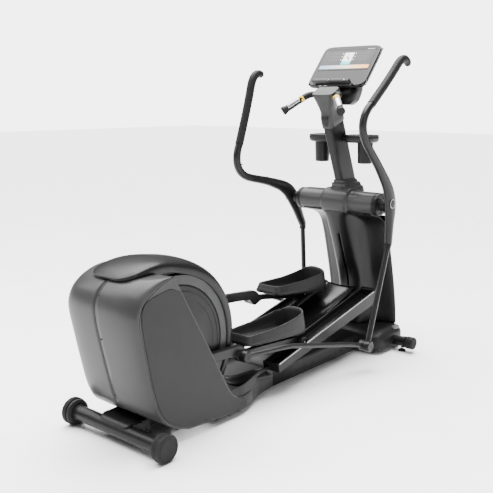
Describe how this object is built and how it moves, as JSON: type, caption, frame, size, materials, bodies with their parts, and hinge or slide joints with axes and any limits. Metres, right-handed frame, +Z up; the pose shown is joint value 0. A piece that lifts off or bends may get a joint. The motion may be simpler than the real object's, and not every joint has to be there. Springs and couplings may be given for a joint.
{
  "type": "elliptical trainer",
  "caption": "Rear-drive elliptical trainer with swing arms, foot links rolling on inclined rails, a closed drive housing and a console on a leaning mast.",
  "frame": {"origin": "on the floor under the middle of the bounding box", "axes": "+X to the user's right, +Y forward towards the console, +Z up"},
  "size_m": [0.83, 2.172, 1.8077],
  "materials": {
    "base_cover": "satin black",
    "base_skirt": "satin black",
    "casing_left": "satin black",
    "casing_right": "satin black",
    "connecting_rod_left": "satin black paint",
    "connecting_rod_right": "satin black paint",
    "console_body": "satin graphite",
    "console_neck": "satin graphite",
    "control_bar": "satin black",
    "crank_axle": "ground",
    "crank_disc_left": "satin black",
    "crank_disc_right": "satin black",
    "cup_holder_left": "satin black",
    "cup_holder_right": "satin black",
    "drive_belt": "matt",
    "drive_pulley": "satin black",
    "flywheel": "machined",
    "foot_link_left": "satin black paint",
    "foot_link_right": "satin black paint",
    "front_base_cover": "satin black",
    "front_stabiliser": "satin black paint",
    "front_upright": "satin black paint",
    "grip_left": "matt",
    "grip_right": "matt",
    "handlebar_left": "matt",
    "handlebar_right": "matt",
    "levelling_foot_left": "matt",
    "levelling_foot_right": "matt",
    "main_beam": "satin black paint",
    "mast_collar": "satin black",
    "mast_tube": "satin black paint",
    "pedal_left": "satin black",
    "pedal_right": "satin black",
    "pivot_cover": "satin black",
    "pivot_shaft": "ground",
    "rail_left": "satin black paint",
    "rail_right": "satin black paint",
    "ramp_cover": "satin black",
    "rear_foot_left": "matt",
    "rear_foot_right": "matt",
    "rear_shell_left": "satin graphite",
    "rear_shell_right": "satin graphite",
    "rear_stabiliser": "satin black paint",
    "roller_axle_left": "ground",
    "roller_axle_right": "ground",
    "roller_left": "satin black",
    "roller_right": "satin black",
    "screen": "dark display",
    "side_panel_left": "satin black",
    "side_panel_right": "satin black",
    "speaker_housing": "satin black",
    "stride_key_left": "matt",
    "stride_key_right": "matt",
    "swing_arm_left": "satin black paint",
    "swing_arm_right": "satin black paint",
    "top_lid": "satin graphite",
    "tower_cover_front": "satin black",
    "tower_cover_rear": "satin black",
    "transport_wheel_left": "matt",
    "transport_wheel_right": "matt"
  },
  "bodies": {
    "frame": {"base_cover": "base_cover", "base_skirt": "base_skirt", "casing_left": "casing_left", "casing_right": "casing_right", "console_body": "console_body", "console_neck": "console_neck", "control_bar": "control_bar", "cup_holder_left": "cup_holder_left", "cup_holder_right": "cup_holder_right", "drive_belt": "drive_belt", "front_base_cover": "front_base_cover", "front_stabiliser": "front_stabiliser", "front_upright": "front_upright", "handlebar_left": "handlebar_left", "handlebar_right": "handlebar_right", "main_beam": "main_beam", "mast_collar": "mast_collar", "mast_tube": "mast_tube", "pivot_cover": "pivot_cover", "pivot_shaft": "pivot_shaft", "rail_left": "rail_left", "rail_right": "rail_right", "ramp_cover": "ramp_cover", "rear_foot_left": "rear_foot_left", "rear_foot_right": "rear_foot_right", "rear_shell_left": "rear_shell_left", "rear_shell_right": "rear_shell_right", "rear_stabiliser": "rear_stabiliser", "screen": "screen", "side_panel_left": "side_panel_left", "side_panel_right": "side_panel_right", "speaker_housing": "speaker_housing", "top_lid": "top_lid", "tower_cover_front": "tower_cover_front", "tower_cover_rear": "tower_cover_rear"},
    "crank": {"crank_axle": "crank_axle", "drive_pulley": "drive_pulley", "crank_disc_right": "crank_disc_right", "crank_disc_left": "crank_disc_left"},
    "flywheel": {"flywheel": "flywheel"},
    "arm_right": {"swing_arm_right": "swing_arm_right", "grip_right": "grip_right"},
    "rod_right": {"connecting_rod_right": "connecting_rod_right"},
    "carriage_right": {"roller_axle_right": "roller_axle_right"},
    "roller_right": {"roller_right": "roller_right"},
    "link_right": {"foot_link_right": "foot_link_right", "pedal_right": "pedal_right"},
    "wheel_right": {"transport_wheel_right": "transport_wheel_right"},
    "level_right": {"levelling_foot_right": "levelling_foot_right"},
    "key_right": {"stride_key_right": "stride_key_right"},
    "arm_left": {"swing_arm_left": "swing_arm_left", "grip_left": "grip_left"},
    "rod_left": {"connecting_rod_left": "connecting_rod_left"},
    "carriage_left": {"roller_axle_left": "roller_axle_left"},
    "roller_left": {"roller_left": "roller_left"},
    "link_left": {"foot_link_left": "foot_link_left", "pedal_left": "pedal_left"},
    "wheel_left": {"transport_wheel_left": "transport_wheel_left"},
    "level_left": {"levelling_foot_left": "levelling_foot_left"},
    "key_left": {"stride_key_left": "stride_key_left"}
  },
  "joints": [
    {"name": "crank_spin", "type": "hinge", "parent": "frame", "child": "crank", "pos_m": [0, -0.725, 0.39], "axis": [1, 0, 0], "continuous": true},
    {"name": "flywheel_spin", "type": "hinge", "parent": "frame", "child": "flywheel", "pos_m": [0, -0.52, 0.235], "axis": [1, 0, 0], "continuous": true},
    {"name": "right_arm_swing", "type": "hinge", "parent": "frame", "child": "arm_right", "pos_m": [0.345, 0.76, 0.91], "axis": [1, 0, 0], "range_deg": [-1.5, 34.5]},
    {"name": "left_arm_swing", "type": "hinge", "parent": "frame", "child": "arm_left", "pos_m": [-0.345, 0.76, 0.91], "axis": [1, 0, 0], "range_deg": [-34.5, 1.5]},
    {"name": "right_rod_joint", "type": "hinge", "parent": "arm_right", "child": "rod_right", "pos_m": [0.345, 0.49914, 0.15793], "axis": [1, 0, 0], "range_deg": [-45.6, 2.1]},
    {"name": "left_rod_joint", "type": "hinge", "parent": "arm_left", "child": "rod_left", "pos_m": [-0.345, 0.95083, 0.13719], "axis": [1, 0, 0], "range_deg": [-2.1, 45.6]},
    {"name": "right_carriage_slide", "type": "slide", "parent": "frame", "child": "carriage_right", "axis": [0, 0.9744, 0.225], "range_m": [-0.0228, 0.5205]},
    {"name": "left_carriage_slide", "type": "slide", "parent": "frame", "child": "carriage_left", "axis": [0, 0.9744, 0.225], "range_m": [-0.5205, 0.0228]},
    {"name": "right_roller_spin", "type": "hinge", "parent": "carriage_right", "child": "roller_right", "pos_m": [0.16, 0.14393, 0.23108], "axis": [1, 0, 0], "continuous": true},
    {"name": "left_roller_spin", "type": "hinge", "parent": "carriage_left", "child": "roller_left", "pos_m": [-0.16, 0.62881, 0.34302], "axis": [1, 0, 0], "continuous": true},
    {"name": "right_link_pitch", "type": "hinge", "parent": "carriage_right", "child": "link_right", "pos_m": [0.16, 0.14393, 0.23108], "axis": [1, 0, 0], "range_deg": [-5, 3]},
    {"name": "left_link_pitch", "type": "hinge", "parent": "carriage_left", "child": "link_left", "pos_m": [-0.16, 0.62881, 0.34302], "axis": [1, 0, 0], "range_deg": [-3, 5]},
    {"name": "right_wheel_spin", "type": "hinge", "parent": "frame", "child": "wheel_right", "pos_m": [0.39, 0.974, 0.06], "axis": [1, 0, 0], "continuous": true},
    {"name": "right_foot_screw", "type": "slide", "parent": "frame", "child": "level_right", "axis": [0, 0, 1], "range_m": [-0.01, 0]},
    {"name": "right_key_press", "type": "slide", "parent": "frame", "child": "key_right", "axis": [0, 0.7588, -0.6513], "range_m": [0, 0.0015], "stiffness_N_per_m": 400, "springref_m": -0.0005},
    {"name": "left_wheel_spin", "type": "hinge", "parent": "frame", "child": "wheel_left", "pos_m": [-0.39, 0.974, 0.06], "axis": [1, 0, 0], "continuous": true},
    {"name": "left_foot_screw", "type": "slide", "parent": "frame", "child": "level_left", "axis": [0, 0, 1], "range_m": [-0.01, 0]},
    {"name": "left_key_press", "type": "slide", "parent": "frame", "child": "key_left", "axis": [0, 0.7588, -0.6513], "range_m": [0, 0.0015], "stiffness_N_per_m": 400, "springref_m": -0.0005}
  ],
  "couplings": [
    {"joint": "flywheel_spin", "follows": "crank_spin", "ratio": 6.0714},
    {"joint": "left_arm_swing", "follows": "right_arm_swing", "ratio": -1},
    {"joint": "right_rod_joint", "follows": "right_arm_swing", "ratio": -1.3186},
    {"joint": "left_rod_joint", "follows": "right_arm_swing", "ratio": 1.3186},
    {"joint": "right_carriage_slide", "follows": "right_arm_swing", "m_per_rad": 0.864},
    {"joint": "left_carriage_slide", "follows": "right_arm_swing", "m_per_rad": -0.864},
    {"joint": "right_roller_spin", "follows": "right_arm_swing", "ratio": -30.857},
    {"joint": "left_roller_spin", "follows": "right_arm_swing", "ratio": 30.857},
    {"joint": "left_link_pitch", "follows": "right_link_pitch", "ratio": -1}
  ]
}
